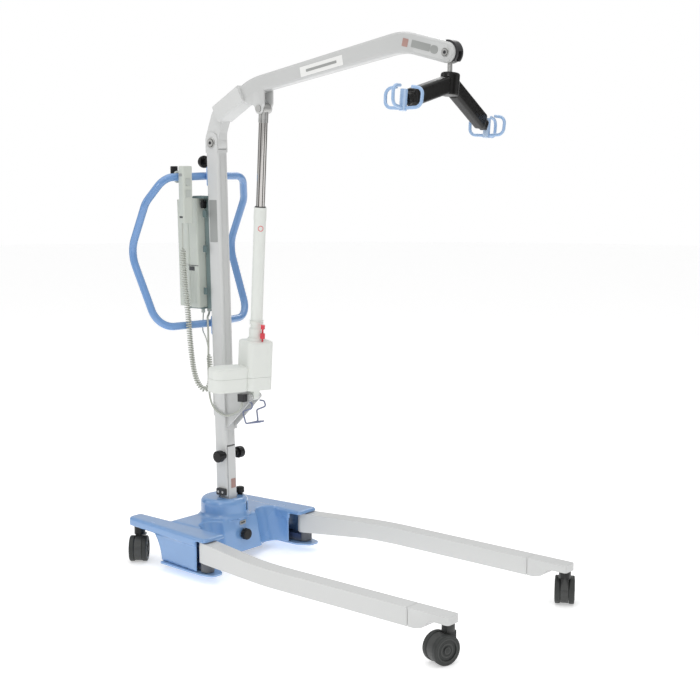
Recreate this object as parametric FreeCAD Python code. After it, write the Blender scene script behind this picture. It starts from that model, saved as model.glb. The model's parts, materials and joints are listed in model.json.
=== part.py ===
import FreeCAD, Part
import math
import os

V = FreeCAD.Vector
UP = V(0, 0, 1)
ACROSS = V(0, 1, 0)
FORWARD = V(1, 0, 0)

# Driving dimensions in millimetres and degrees.
# While modelling, X = 0 is at the foot of the mast, X points along the legs and Z = 0 is the floor.
mast_foot_x = -5.0
mast_lean = 1.3
mast_depth = 46.0
mast_width = 42.0
mast_wall = 3.0
mast_corner = 7.0
mast_bottom = 189.0
mast_top = 1186.0
slot_top = 340.0
fold_forward = 15.0
fold_height = 311.0
boom_pivot_height = 1213.3
knuckle_radius = 27.0
cheek_inner = 17.0

sleeve_offset = (74.0, 108.0)
sleeve_angle = 29.6
sleeve_length = 112.0
sleeve_height = 50.0
sleeve_width = 60.0
boom_width = 40.0
boom_rear_half = 22.0
boom_front_half = 26.0
boom_wall = 3.0
boom_rear_bend = (157.9, 155.4)
boom_front_bend = (681.0, 251.3)
boom_tip = (818.5, 216.9)
top_pin = (187.5, 93.0)

lower_pin_forward = 122.5
lower_pin_height = 493.3
rod_radius = 12.5
tube_radius = 17.0
tube_bottom = 172.0
tube_top = 540.0
housing_turn = 15.7
housing_floor = 24.0
housing_top = 164.0
housing_seam = 61.0
pod_top = 92.0
pull_x = 32.0
pull_y = -7.0
shell_wall = 3.0

leg_width = 45.0
leg_height = 48.0
leg_root_height = 58.0
leg_top = 115.0
leg_wall = 3.0
leg_pivot_x = 118.0
leg_pivot_y = 204.5
leg_bend_x = 375.0
leg_line_y = 261.0
leg_tube_end = 880.0
leg_tip_end = 1004.0
front_stem_x = 988.0
rear_stem_x = -190.0
rear_stem_y = 182.0

wheel_radius = 37.5
wheel_width = 15.0
wheel_gap = 22.0
caster_trail = 20.0
stem_radius = 6.0
pedal_hinge = (20.7, 70.5)
running_gap = 0.05

cover_wall = 4.0
pod_rear = -219.0
pod_front = 140.0
skirt_front = 97.0
cover_top = 128.0
cover_floor = 27.0
hub_centre_x = -20.0
hub_radius = 70.0
hub_top = 184.0

handle_radius = 11.0
spreader_turn = 8.0
spreader_tilt = 7.8
arm_reach = 196.0
arm_slope = 19.6
hook_bar = 4.0

parts = {}


# ---- helpers ----

def box(x0, x1, y0, y1, z0, z1):
    return Part.makeBox(x1 - x0, y1 - y0, z1 - z0, V(x0, y0, z0))


def cylinder(radius, start, direction, length):
    return Part.makeCylinder(radius, length, start, direction)


def cross_bar(radius, x, z, y0, y1):
    return Part.makeCylinder(radius, y1 - y0, V(x, y0, z), ACROSS)


def mirrored(shape):
    return shape.mirror(V(0, 0, 0), ACROSS)


def turned(shape, centre, axis, angle):
    copy = shape.copy()
    copy.rotate(centre, axis, angle)
    return copy


def moved(shape, offset):
    copy = shape.copy()
    copy.translate(offset)
    return copy


def fused(shapes):
    body = shapes[0]
    for other in shapes[1:]:
        body = body.fuse(other)
    return body.removeSplitter()


def rounded_wire(corners, closed=True):
    """Lines through the corners (point, radius), each corner rounded by a tangent arc."""
    count = len(corners)
    starts = []
    ends = []
    middles = []
    for index, (point, radius) in enumerate(corners):
        at_end = not closed and index in (0, count - 1)
        if at_end or radius == 0:
            starts.append(point)
            ends.append(point)
            middles.append(None)
            continue
        before = (corners[index - 1][0] - point).normalize()
        after = (corners[(index + 1) % count][0] - point).normalize()
        half = before.getAngle(after) / 2
        reach = radius / math.tan(half)
        centre = point + (before + after).normalize() * (radius / math.sin(half))
        starts.append(point + before * reach)
        ends.append(point + after * reach)
        middles.append(centre + (point - centre).normalize() * radius)
    edges = []
    for index in range(count):
        if middles[index] is not None:
            edges.append(Part.Arc(starts[index], middles[index], ends[index]).toShape())
        following = (index + 1) % count
        if not closed and following == 0:
            break
        if (starts[following] - ends[index]).Length > 0.001:
            edges.append(Part.LineSegment(ends[index], starts[following]).toShape())
    return Part.Wire(edges)


def side_plate(corners, y0, y1):
    """Prism across the hoist from an outline of (x, z, corner radius)."""
    wire = rounded_wire([(V(x, y0, z), r) for x, z, r in corners])
    return Part.Face(wire).extrude(V(0, y1 - y0, 0))


def floor_plate(corners, z0, z1):
    """Upright prism from an outline of (x, y, corner radius)."""
    wire = rounded_wire([(V(x, y, z0), r) for x, y, r in corners])
    return Part.Face(wire).extrude(V(0, 0, z1 - z0))


def pipe(corners, radius):
    """Round bar swept along a rounded path of (point, corner radius)."""
    path = rounded_wire(corners, closed=False)
    start = corners[0][0]
    direction = (corners[1][0] - start).normalize()
    section = Part.Wire(Part.makeCircle(radius, start, direction))
    return path.makePipeShell([section], True, False)


def rounded_box(x0, x1, y0, y1, z0, z1, radius, axis="z"):
    """Box whose four edges along one axis are rounded."""
    body = box(x0, x1, y0, y1, z0, z1)
    wanted = {"x": FORWARD, "y": ACROSS, "z": UP}[axis]
    edges = [e for e in body.Edges if abs(e.tangentAt(e.FirstParameter).dot(wanted)) > 0.99]
    return body.makeFillet(radius, edges)


def soften(shape, radius, wanted):
    """Fillet the edges for which wanted(edge) is true."""
    edges = [e for e in shape.Edges if wanted(e)]
    return shape.makeFillet(radius, edges)


def flat_at(z):
    return lambda e: abs(e.BoundBox.ZMin - z) < 0.01 and abs(e.BoundBox.ZMax - z) < 0.01


# ---- frames ----

def on_mast(shape):
    """Place a shape drawn about the mast axis (x forward, z up the mast)."""
    placed = moved(shape, V(mast_foot_x, 0, 0))
    return turned(placed, V(mast_foot_x, 0, 0), ACROSS, -mast_lean)


def mast_point(forward, across, height):
    lean = math.radians(mast_lean)
    x = mast_foot_x + forward * math.cos(lean) - height * math.sin(lean)
    z = forward * math.sin(lean) + height * math.cos(lean)
    return V(x, across, z)


boom_pivot = mast_point(0, 0, boom_pivot_height)
lower_pin = mast_point(lower_pin_forward, 0, lower_pin_height)
upper_pin = boom_pivot + V(top_pin[0], 0, top_pin[1])
actuator_length = (upper_pin - lower_pin).Length
actuator_tilt = math.degrees(math.atan2(upper_pin.x - lower_pin.x, upper_pin.z - lower_pin.z))
tip_bolt = boom_pivot + V(boom_tip[0], 0, boom_tip[1])


def on_boom(shape):
    """Place a shape drawn about the boom pivot."""
    return moved(shape, boom_pivot)


def on_actuator(shape):
    """Place a shape drawn about the lower pin with z along the rod."""
    return turned(moved(shape, lower_pin), lower_pin, ACROSS, actuator_tilt)


# ---- base: chassis, cover, post ----

def pod_outline(inset, rear, front, front_round=16):
    """Plan outline of one side pod, a little wider towards the front."""
    rear_y = 205 + 0.09 * (rear - pod_rear) - inset
    front_y = 205 + 0.09 * (front - pod_rear) - inset
    return [(rear + inset, 152 + inset, 12), (rear + inset, rear_y, 20),
            (front - inset, front_y, front_round), (front - inset, 152 + inset, 12)]


def both_sides(shapes):
    return shapes + [mirrored(shape) for shape in shapes]


arch_centre = (-185.0, 20.0)
arch_radius = 120.0
roof = soften(floor_plate(pod_outline(0, pod_rear, pod_front), 102, cover_top), 9, flat_at(cover_top))
skirt = floor_plate(pod_outline(6, -130, skirt_front + 6, 3), cover_floor, 118)
below_rim = box(-260, 0, 100, 260, -60, 102)
skirt = skirt.cut(cross_bar(arch_radius, arch_centre[0], arch_centre[1], 100, 260).common(below_rim))
scoop = cylinder(46, V(103, 112, -20), V(-0.28, 0, 1), 190)
bridge = side_plate([(-85, cover_floor, 0), (58, cover_floor, 0), (50, 100, 60), (42, cover_top + 3, 14),
                     (-85, cover_top + 3, 16)], -158, 158)
filler = box(20, 92, 100, 158.5, cover_floor, cover_top - 4)
bridge = fused([bridge] + both_sides([filler])).cut(scoop).cut(mirrored(scoop))
flare = Part.makeCone(hub_radius + 9, hub_radius - 0.5, 12, V(hub_centre_x, 0, cover_top), UP)
hub = soften(cylinder(hub_radius, V(hub_centre_x, 0, 104), UP, hub_top - 104), 16, flat_at(hub_top))
side_slot = box(hub_centre_x - hub_radius - 20, hub_centre_x - hub_radius + 8, -5, 5, 142, 170)
for turn in (28, -150):
    hub = hub.cut(turned(side_slot, V(hub_centre_x, 0, 0), UP, turn))
outer_skin = fused([bridge] + both_sides([roof, skirt]) + [flare, hub])

skirt_bore = floor_plate([(-61, 162, 4), (-61, 209, 4), (110, 223, 0), (110, 162, 0)], 7, cover_top - cover_wall)
rear_bore = floor_plate([(-214, 157, 0), (-214, 200.5, 0), (-60, 209.5, 0), (-60, 157, 0)], 90,
                        cover_top - cover_wall)
front_bore = box(skirt_front + 0.5, pod_front - 5, 157, 228, 60, cover_top - cover_wall)
face_bore = side_plate([(-80, 7, 0), (53, 7, 0), (53, 30, 0), (38, cover_top - 6, 0), (-80, cover_top - 6, 0)], -62, 62)
bridge_bore = fused([face_bore, box(-80, 11, -163, 163, 7, cover_top - 6)])
hub_bore = cylinder(hub_radius - cover_wall, V(hub_centre_x, 0, 100), UP, hub_top - 112)
under_roof = box(skirt_front, pod_front + 10, 110, 260, 0, 117)
post_hole = on_mast(box(-16, 29, -18, 18, 100, 230))
front_knob_hole = cylinder(5.5, V(30, 6, 80), FORWARD, 50)
button_hole = cylinder(8.2, V(2, 44, 150), UP, 60)
cover = outer_skin
for bore in both_sides([skirt_bore, rear_bore, front_bore, under_roof]) + [bridge_bore, hub_bore]:
    cover = cover.cut(bore)
for hole in (post_hole, front_knob_hole, button_hole):
    cover = cover.cut(hole)
parts["base_cover"] = cover

cross_beam = rounded_box(-46, 4, -168, 168, 66, 110, 6, "y")
cross_bore = rounded_box(-42.5, 0.5, -163, 163, 69.5, 106.5, 3, "y")
post_socket = box(-30, 32, -24, 24, 60, 112)
pod_web = rounded_box(-58, -6, 164, 206, 50, 118, 6)
pod_arm = rounded_box(-212, -60, 166, 198, 105, 118, 6)
top_plate = floor_plate([(-212, 164, 10), (-212, 196, 14), (132, 219, 12), (132, 164, 10)], 118, 122.5)
pivot_seat = cylinder(19, V(leg_pivot_x, leg_pivot_y, 30), UP, 26.5)
low_arm = box(-55, leg_pivot_x, 182, 209, 30, 50)
pivot_hole = cylinder(8 + running_gap, V(leg_pivot_x, leg_pivot_y, 20), UP, 110)
stem_hole = cylinder(stem_radius + running_gap, V(rear_stem_x, rear_stem_y, 90), UP, 27)
pod_frame = fused([pod_web, pod_arm, top_plate, low_arm, pivot_seat]).cut(pivot_hole).cut(stem_hole)
post_bore = on_mast(box(-12.1, 25.6, -15.1, 15.1, 63, 240))
chassis = fused([cross_beam.cut(cross_bore), post_socket, pod_frame, mirrored(pod_frame)])
parts["base_chassis"] = chassis.cut(post_bore)

floor_pan = floor_plate([(-58, 160, 8), (-58, 226, 8), (70, 232, 20), (118, 232, 20), (158, 222, 16),
                         (158, 184, 16), (118, 162, 20)], 22, 26.8)
floor_pan = floor_pan.cut(cylinder(8 + running_gap, V(leg_pivot_x, leg_pivot_y, 20), UP, 10))
parts["base_floor_pans"] = Part.makeCompound([floor_pan, mirrored(floor_pan)])

pivot_pin = fused([cylinder(8, V(leg_pivot_x, leg_pivot_y, 22), UP, 100.5),
                   cylinder(12, V(leg_pivot_x, leg_pivot_y, 18), UP, 3.9)])
parts["leg_pivot_pins"] = Part.makeCompound([pivot_pin, mirrored(pivot_pin)])

post = box(-12, 25.5, -15, 15, 66, fold_height)
post_head = cross_bar(26, fold_forward, fold_height, -15, 15)
post = fused([post, post_head.common(box(-12, 25.5, -15, 15, fold_height - 30, fold_height + 30))])
clamp_hole = cross_bar(5.2, fold_forward, fold_height, -30, 30)
parts["mast_post"] = on_mast(post.cut(clamp_hole))

knob_height = 80.0
grip = cylinder(16.5, V(56.5, 6, knob_height), FORWARD, 15)
grip = soften(grip, 3, lambda e: e.BoundBox.XMin > 71.4)
for index in range(8):
    groove = cylinder(2.6, V(56, 6 + 17.6, knob_height), FORWARD, 17)
    grip = grip.cut(turned(groove, V(0, 6, knob_height), FORWARD, 45 * index))
parts["base_front_knob"] = fused([grip, cylinder(5, V(36, 6, knob_height), FORWARD, 22)])

button_cap = soften(cylinder(12.5, V(2, 44, hub_top + 5), UP, 17), 5, flat_at(hub_top + 22))
parts["base_lock_button"] = fused([button_cap, cylinder(8, V(2, 44, 160), UP, hub_top - 154)])


# ---- legs ----

def leg_line(corner_radius, side_shift, start_x, end_x):
    """Plan points of a line parallel to the leg, for one side face."""
    slope = (leg_line_y - leg_pivot_y) / (leg_bend_x - leg_pivot_x)
    angle = math.atan(slope)
    bend = V(leg_bend_x - side_shift * math.tan(angle / 2), leg_line_y + side_shift, 0)
    start_y = bend.y - slope * (bend.x - start_x)
    return [(start_x, start_y, 0), (bend.x, bend.y, corner_radius), (end_x, leg_line_y + side_shift, 0)]


def leg_band(half, z0, z1, start_x, end_x):
    outer = leg_line(700 - half, half, start_x, end_x)
    inner = leg_line(700 + half, -half, start_x, end_x)
    return floor_plate(outer + inner[::-1], z0, z1)


leg_low = leg_top - leg_root_height
leg = leg_band(leg_width / 2, leg_low, leg_top, leg_pivot_x, leg_tube_end)
leg = fused([leg, cylinder(leg_width / 2, V(leg_pivot_x, leg_pivot_y, leg_low), UP, leg_root_height)])
taper = side_plate([(60, leg_low - 5, 0), (60, leg_low, 0), (130, leg_low, 60), (330, leg_top - leg_height, 400),
                    (1100, leg_top - leg_height, 0), (1100, leg_low - 5, 0)], 100, 340)
leg = leg.cut(taper)
hollow_leg = leg_band(leg_width / 2 - leg_wall, leg_top - leg_height + leg_wall, leg_top - leg_wall, 160,
                      leg_tube_end - 50)
leg = leg.cut(hollow_leg).cut(cylinder(8 + running_gap, V(leg_pivot_x, leg_pivot_y, 40), UP, 90))
socket_y = leg_line_y
leg = leg.cut(box(leg_tube_end - 50, leg_tube_end + 1, socket_y - 17.5, socket_y + 17.5, 72.5, 109.5))
parts["leg_left"] = leg
parts["leg_right"] = mirrored(leg)

tip_seat = 95.0
rear_seat = 102.0
tip = rounded_box(leg_tube_end, leg_tip_end, socket_y - 22.5, socket_y + 22.5, 67, leg_top, 8)
recess = side_plate([(901, 50, 0), (902, 67, 0), (930, 74, 26), (948, tip_seat, 20), (1020, tip_seat, 0),
                     (1020, 50, 0)], 200, 300)
tip = tip.cut(recess)
tongue = box(leg_tube_end - 46, leg_tube_end + 4, socket_y - 17.4, socket_y + 17.4, 72.6, 109.4)
tip = fused([tip, tongue])
front_hole = cylinder(stem_radius + running_gap, V(front_stem_x, leg_line_y, 60), UP, 51.5)
tip = tip.cut(front_hole)
parts["leg_tip_left"] = tip
parts["leg_tip_right"] = mirrored(tip)


# ---- casters ----

def caster(name, x, y, seat_z, stem_top, trail_x, trail_y, braked):
    """One twin-wheel caster about its stem, trailing towards the given direction."""
    axle_x = -caster_trail
    half = wheel_gap / 2
    cap = cylinder(16, V(0, 0, 76.2), UP, seat_z - 76.7)
    stem = cylinder(stem_radius, V(0, 0, 76), UP, stem_top - 76)
    disc = cross_bar(35.5, axle_x, wheel_radius, -half + 0.6, half - 0.6)
    disc = disc.cut(box(axle_x - 10, axle_x + 10, -40, 40, 0, 14))
    neck = side_plate([(-17, 60, 0), (16, 46, 0), (16, 77, 0), (-17, 77, 0)], -half + 0.6, half - 0.6)
    hood = fused([cap, stem, disc, neck])
    hood = hood.cut(cross_bar(5 + running_gap, axle_x, wheel_radius, -40, 40))
    wheels = []
    for side in (-1, 1):
        near = half if side > 0 else -half - wheel_width
        wheel = cross_bar(wheel_radius, axle_x, wheel_radius, near, near + wheel_width)
        wheel = wheel.makeFillet(3.5, [e for e in wheel.Edges if e.Length > 200])
        face_y = half + wheel_width if side > 0 else -half - wheel_width
        dish = cross_bar(25, axle_x, wheel_radius, face_y - 2.5, face_y + 2.5)
        boss = cross_bar(9, axle_x, wheel_radius, face_y - 2.5, face_y + 2.5)
        wheels.append(wheel.cut(dish.cut(boss)))
    axle = cross_bar(5, axle_x, wheel_radius, -half - wheel_width - 0.5, half + wheel_width + 0.5)
    rolling = fused(wheels + [axle])
    turn = math.degrees(math.atan2(-trail_y, -trail_x))
    shapes = {"caster_body_" + name: hood, "caster_wheels_" + name: rolling}
    if braked:
        pedal = side_plate([(18.5, 66, 2), (19.5, 75, 2), (42, 69, 2), (42, 62, 2), (26, 64, 5)], -14, 14)
        pedal = fused([pedal, cross_bar(4.2, pedal_hinge[0], pedal_hinge[1], -14, 14)])
        shapes["caster_brake_" + name] = pedal
    for key, shape in shapes.items():
        placed = turned(shape, V(0, 0, 0), UP, turn)
        parts[key] = moved(placed, V(x, y, 0))


caster("front_right", front_stem_x, -leg_line_y, tip_seat, 111.0, -0.31, -0.95, False)
caster("front_left", front_stem_x, leg_line_y, tip_seat, 111.0, -0.5, 0.866, False)
caster("rear_right", rear_stem_x, -rear_stem_y, rear_seat, 116.5, 0.644, -0.765, True)
caster("rear_left", rear_stem_x, rear_stem_y, rear_seat, 116.5, 0.644, -0.765, True)


# ---- mast ----

half_depth = mast_depth / 2
half_width = mast_width / 2
mast = rounded_box(-half_depth, half_depth, -half_width, half_width, mast_bottom, mast_top, mast_corner)
bore = rounded_box(-half_depth + mast_wall, half_depth - mast_wall, -half_width + mast_wall,
                   half_width - mast_wall, mast_bottom - 1, mast_top + 1, mast_corner - mast_wall)
mast = mast.cut(bore)
front_slot = box(10, 30, -16.5, 16.5, mast_bottom - 1, slot_top)
mast = mast.cut(front_slot)
for side in (-1, 1):
    groove = box(half_depth - 0.6, half_depth + 1, side * 9 - 1, side * 9 + 1, slot_top + 20, mast_top - 8)
    mast = mast.cut(groove)
mast = mast.cut(cross_bar(5.2, fold_forward, fold_height, -30, 30))
parts["mast_tube"] = on_mast(mast)

head = rounded_box(-half_depth + mast_wall + 0.02, half_depth - mast_wall - 0.02, -half_width + mast_wall + 0.02,
                   half_width - mast_wall - 0.02, mast_top - 60, mast_top - 8, mast_corner - mast_wall + 0.3)
crown = rounded_box(-half_depth, half_depth, -half_width, half_width, mast_top, mast_top + 8, mast_corner)
cheek = side_plate([(-half_depth, mast_top, 0), (half_depth, mast_top, 0), (half_depth, boom_pivot_height, 0),
                    (half_depth, boom_pivot_height + 30, 22), (-half_depth, boom_pivot_height + 30, 22)],
                   cheek_inner, half_width)
core = box(-18, 18, -15, 15, mast_top - 20, mast_top + 4)
head = fused([head, crown, cheek, mirrored(cheek), core])
swing = cross_bar(knuckle_radius + 1.0, 0, boom_pivot_height, -cheek_inner, cheek_inner)
head = head.cut(swing).cut(cross_bar(7 + running_gap, 0, boom_pivot_height, -30, 30))
parts["mast_head"] = on_mast(head)

pivot_bolt = fused([cross_bar(7, 0, boom_pivot_height, -half_width - 1, half_width + 1),
                    cross_bar(10.5, 0, boom_pivot_height, half_width + 0.02, half_width + 5),
                    cross_bar(10.5, 0, boom_pivot_height, -half_width - 5, -half_width - 0.02)])
parts["boom_pivot_bolt"] = on_mast(pivot_bolt)

latch = rounded_box(-13, 22, -half_width - 9, -half_width - 0.02, 192, 212, 4, "y")
screws = [cross_bar(3.4, x, 202, -half_width - 10, -half_width - 9.02) for x in (-4, 13)]
parts["mast_latch"] = on_mast(latch)
parts["latch_screws"] = on_mast(Part.makeCompound(screws))

for name, side in (("right", -1), ("left", 1)):
    outer = half_width + 0.3
    grip = cross_bar(17, 0, 0, outer + 12, outer + 30)
    grip = grip.makeFillet(3, [e for e in grip.Edges if e.BoundBox.YMin > outer + 29])
    for index in range(8):
        groove = cross_bar(2.6, 18.1, 0, outer + 11, outer + 31)
        grip = grip.cut(turned(groove, V(0, 0, 0), ACROSS, 45 * index))
    knob = fused([grip, cross_bar(11, 0, 0, outer, outer + 14), cross_bar(5, 0, 0, 3, outer + 4)])
    knob = moved(knob, V(fold_forward, 0, fold_height))
    parts["mast_knob_" + name] = on_mast(knob if side > 0 else mirrored(knob))

stalk_start = V(-half_depth - 0.3, 0, 1161)
knob = cylinder(5, V(-half_depth + mast_wall, 0, 1161), -FORWARD, 30)
knob = fused([knob, cylinder(8, stalk_start, -FORWARD, 30)])
dome = Part.makeSphere(18, V(-half_depth - 30, 0, 1161)).common(
    box(-half_depth - 42, -half_depth - 26, -20, 20, 1140, 1182))
parts["mast_rear_knob"] = on_mast(fused([knob, dome]))
parts["mast_tube"] = parts["mast_tube"].cut(
    on_mast(cylinder(5.2, V(-half_depth - 2, 0, 1161), FORWARD, 10)))

half_loop = [(V(-76, 0, 1119), 0), (V(-82, 156, 1117), 52), (V(-118, 196, 1047), 60), (V(-184, 198, 905), 95),
             (V(-92, 182, 694), 62), (V(-60, 0, 694), 0)]
right_half = [(V(p.x, -p.y, p.z), r) for p, r in half_loop]
loop = fused([pipe(half_loop, handle_radius), pipe(right_half, handle_radius)])
loop_bore = fused([pipe(half_loop, handle_radius - 2), pipe(right_half, handle_radius - 2)])
plates = []
for height, reach in ((1119, 16), (690, 10)):
    plate = rounded_box(-half_depth - 6, -half_depth - 0.02, -15, 15, height - 28, height + 28, 6, "x")
    boss = box(-half_depth - reach, -half_depth - 5, -9, 9, height - 9, height + 9)
    plates.append(on_mast(fused([plate, boss])))
loop = fused([loop.cut(loop_bore)] + plates).cut(on_mast(box(-half_depth, half_depth, -30, 30, 600, 1190)))
parts["push_handle"] = loop

bracket = rounded_box(-half_depth - 22, -half_depth - 0.02, -14, 14, 738, 1062, 3)
bracket = fused([bracket, box(-half_depth - 84, -half_depth - 20, -30, 30, 1058, 1062),
                 box(-half_depth - 84, -half_depth - 20, -30, 30, 738, 742)])
parts["control_bracket"] = on_mast(bracket)

control = rounded_box(-half_depth - 58, -half_depth - 22.3, -44, 44, 742.4, 1057.6, 5)
socket = cylinder(3.0, V(-half_depth - 40, 45, 770), -ACROSS, 14)
lead_boot = cylinder(5.5, mast_point(-65, -10, 725), UP, 20)
cable_boot = cylinder(6.5, mast_point(-56, 6, 728), UP, 20)
parts["control_box"] = fused([on_mast(control.cut(socket)), lead_boot, cable_boot])
parts["control_bracket"] = parts["control_bracket"].cut(lead_boot).cut(cable_boot)
battery = rounded_box(-half_depth - 106, -half_depth - 58.4, -44, 44, 866, 1054, 8)
battery_foot = rounded_box(-half_depth - 106, -half_depth - 58.02, -44, 44, 746, 865.4, 8)
parts["control_box_base"] = on_mast(battery_foot)
grip_well = cross_bar(9, -half_depth - 108, 1040, -30, 30)
parts["battery_pack"] = on_mast(battery.cut(grip_well))

handset_x0 = -67.0
handset_x1 = -45.0
handset = rounded_box(handset_x0, handset_x1, -119, -83, 989, 1149, 5)
handset = soften(handset, 3, flat_at(1149))
keys = {}
for key, z in (("up", 1104.0), ("down", 1072.0)):
    well = box(handset_x1 - 3, handset_x1 + 1, -110.2, -91.8, z - 10.2, z + 10.2)
    handset = handset.cut(well)
    keys[key] = rounded_box(handset_x1 - 1.6, handset_x1 + 1.8, -110, -92, z - 10, z + 10, 2, "x")
body = handset.cut(cylinder(2.5, V(-60, -111, 980), UP, 14))
parts["handset_key_up"] = keys["up"]
parts["handset_key_down"] = keys["down"]
bar_x = -80.2
bar_z = 1118.0
hook = cross_bar(handle_radius + 6.0, bar_x, bar_z, -110, -94)
hook = hook.cut(cross_bar(handle_radius + 1.5, bar_x, bar_z, -120, -80))
hook = hook.cut(box(bar_x - 4, bar_x + 30, -120, -80, 1090, bar_z))
back = box(handset_x0 - 4.0, handset_x0 + 1, -110, -94, 1112, 1141)
link = box(bar_x + 3, handset_x0 + 1, -110, -94, 1130.5, 1135)
hook = fused([hook, back.cut(cross_bar(handle_radius + 1.5, bar_x, bar_z, -120, -80)), link])
parts["handset"] = fused([body, hook])

lower_bracket = side_plate([(half_depth + 0.02, 388, 3), (half_depth + 0.02, 500, 3),
                            (lower_pin_forward + 2, lower_pin_height + 11, 10),
                            (lower_pin_forward + 13, lower_pin_height, 8),
                            (lower_pin_forward, lower_pin_height - 14, 8)], 14, 18)
back_plate = box(half_depth + 0.02, half_depth + 4, -24.5, 24.5, 386, 514)
wrap = side_plate([(-20, 514, 3), (-20, 428, 3), (26, 398, 3), (26, 514, 3)], half_width + 0.05, 24.5)
stub = cross_bar(8, lower_pin_forward, lower_pin_height, 14.2, 23)
cheeks = fused([back_plate, wrap, mirrored(wrap), lower_bracket, mirrored(lower_bracket), stub,
                mirrored(stub)])
parts["lower_bracket"] = on_mast(cheeks)

plug = rounded_box(96, 120, -42, -24, 481, 503, 3)
parts["motor_plug"] = on_mast(plug)

wire_path = [(V(110, 20.3, 482), 0), (V(126, 20.3, 482), 5), (V(136, 18, 468), 6), (V(99, 18, 453), 6),
             (V(104, 18, 420), 6), (V(104, -32, 420), 6), (V(92, -32, 454), 6), (V(130, -32, 468), 6),
             (V(124, -27, 481), 5), (V(110, -20.3, 481), 0)]
rack = pipe(wire_path, 2.2)
front_loop = pipe([(V(104, 10, 420), 0), (V(140, 8, 427), 8), (V(140, -18, 427), 8), (V(104, -20, 420), 0)], 2.2)
parts["wire_hook"] = fused([rack, front_loop])


# ---- boom ----

sleeve_centre = V(sleeve_offset[0], 0, sleeve_offset[1])


def along_sleeve(shape):
    return moved(turned(shape, V(0, 0, 0), ACROSS, -sleeve_angle), sleeve_centre)


half_sleeve = sleeve_length / 2
sleeve = rounded_box(-half_sleeve, half_sleeve, -sleeve_width / 2, sleeve_width / 2,
                     -sleeve_height / 2, sleeve_height / 2, 7, "x")
sleeve_bore = rounded_box(-half_sleeve - 1, half_sleeve + 1, -boom_width / 2 - 0.05, boom_width / 2 + 0.05,
                          -boom_rear_half - 0.05, boom_rear_half + 0.05, 8, "x")
sleeve = along_sleeve(sleeve.cut(sleeve_bore))

angle = math.radians(sleeve_angle)
along = V(math.cos(angle), 0, math.sin(angle))
above = V(-math.sin(angle), 0, math.cos(angle))
tongue_end = sleeve_centre - along * 4
tongue_top = tongue_end + above * (boom_rear_half)
tongue_low = tongue_end - above * (boom_rear_half)
sleeve_back = sleeve_centre - along * (half_sleeve + 12)
neck_outline = [(tongue_low.x, tongue_low.z, 0), (tongue_top.x, tongue_top.z, 0),
                ((sleeve_back + above * boom_rear_half).x, (sleeve_back + above * boom_rear_half).z, 50),
                (-knuckle_radius, 14, 20), (-knuckle_radius + 3, -8, 0), (knuckle_radius - 3, -8, 0),
                (knuckle_radius + 1, 30, 40), ((sleeve_back - above * boom_rear_half).x + 16,
                                               (sleeve_back - above * boom_rear_half).z + 9, 20)]
neck = side_plate(neck_outline, -cheek_inner + 0.35, cheek_inner - 0.35)
knuckle = cross_bar(knuckle_radius, 0, 0, -cheek_inner + 0.35, cheek_inner - 0.35)
neck = fused([neck, knuckle]).cut(cross_bar(7 + running_gap, 0, 0, -30, 30))
parts["boom_neck"] = on_boom(neck.cut(sleeve))


def offset_line(points, halves, side):
    """Corners of a line beside the boom's centre line, on its upper (1) or lower (-1) side."""
    result = []
    for index, (x, z) in enumerate(points):
        before = points[index - 1] if index > 0 else None
        after = points[index + 1] if index < len(points) - 1 else None
        angles = []
        if before:
            angles.append(math.atan2(z - before[1], x - before[0]))
        if after:
            angles.append(math.atan2(after[1] - z, after[0] - x))
        mean = sum(angles) / len(angles)
        half_turn = (angles[-1] - angles[0]) / 2
        reach = side * halves[index] / math.cos(half_turn)
        result.append((x - math.sin(mean) * reach, z + math.cos(mean) * reach))
    return result


def boom_prism(inset, half):
    start = sleeve_centre - along * 3.5
    line = [(start.x, start.z), boom_rear_bend, boom_front_bend, boom_tip]
    halves = [boom_rear_half - inset, boom_rear_half - inset, boom_front_half - inset, boom_front_half - inset]
    upper = offset_line(line, halves, 1)
    lower = offset_line(line, halves, -1)
    radii_upper = [0, 230, 170, 0]
    radii_lower = [0, 270, 200, 0]
    outline = [(x, z, r) for (x, z), r in zip(upper, radii_upper)]
    outline += [(x, z, r) for (x, z), r in zip(lower[::-1], radii_lower[::-1])]
    return side_plate(outline, -half, half)


tube_outer = boom_prism(0.0, boom_width / 2)
tip_round = cross_bar(boom_front_half, boom_tip[0], boom_tip[1], -boom_width / 2, boom_width / 2)
tube_outer = fused([tube_outer, tip_round])
long_edges = [e for e in tube_outer.Edges if abs(abs(e.BoundBox.YMin) - boom_width / 2) < 0.01
              and e.BoundBox.YLength < 0.01 and e.BoundBox.XMax > sleeve_centre.x + 20]
tube_outer = tube_outer.makeFillet(8.0, long_edges)
tube_inner = boom_prism(boom_wall, boom_width / 2 - boom_wall)
tube_inner = tube_inner.cut(cross_bar(34, boom_tip[0], boom_tip[1], -30, 30))
fork_slot = box(boom_tip[0] - 30, boom_tip[0] + 40, -13, 13, boom_tip[1] - 40, boom_tip[1] + 20)
fork_slot = fork_slot.fuse(box(boom_tip[0] - 6, boom_tip[0] + 40, -13, 13, boom_tip[1] - 40, boom_tip[1] + 40))
tube = tube_outer.cut(tube_inner).cut(fork_slot)
tube = tube.cut(cross_bar(6 + running_gap, boom_tip[0], boom_tip[1], -30, 30))
lug = side_plate([(112, 136, 3), (206, 154, 3), (206, 104, 10), (top_pin[0] + 6, top_pin[1] - 14, 10),
                  (top_pin[0] - 10, top_pin[1] - 14, 10), (top_pin[0] - 18, top_pin[1] + 8, 6),
                  (128, 112, 30)], 14.6, 19.6)
lug = fused([lug, cross_bar(14, top_pin[0], top_pin[1], 14.6, 19.6)])
lug = fused([lug, mirrored(lug)]).cut(tube_inner)
tube = fused([tube, lug])
tube = tube.cut(cross_bar(6 + running_gap, top_pin[0], top_pin[1], -30, 30))
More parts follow.
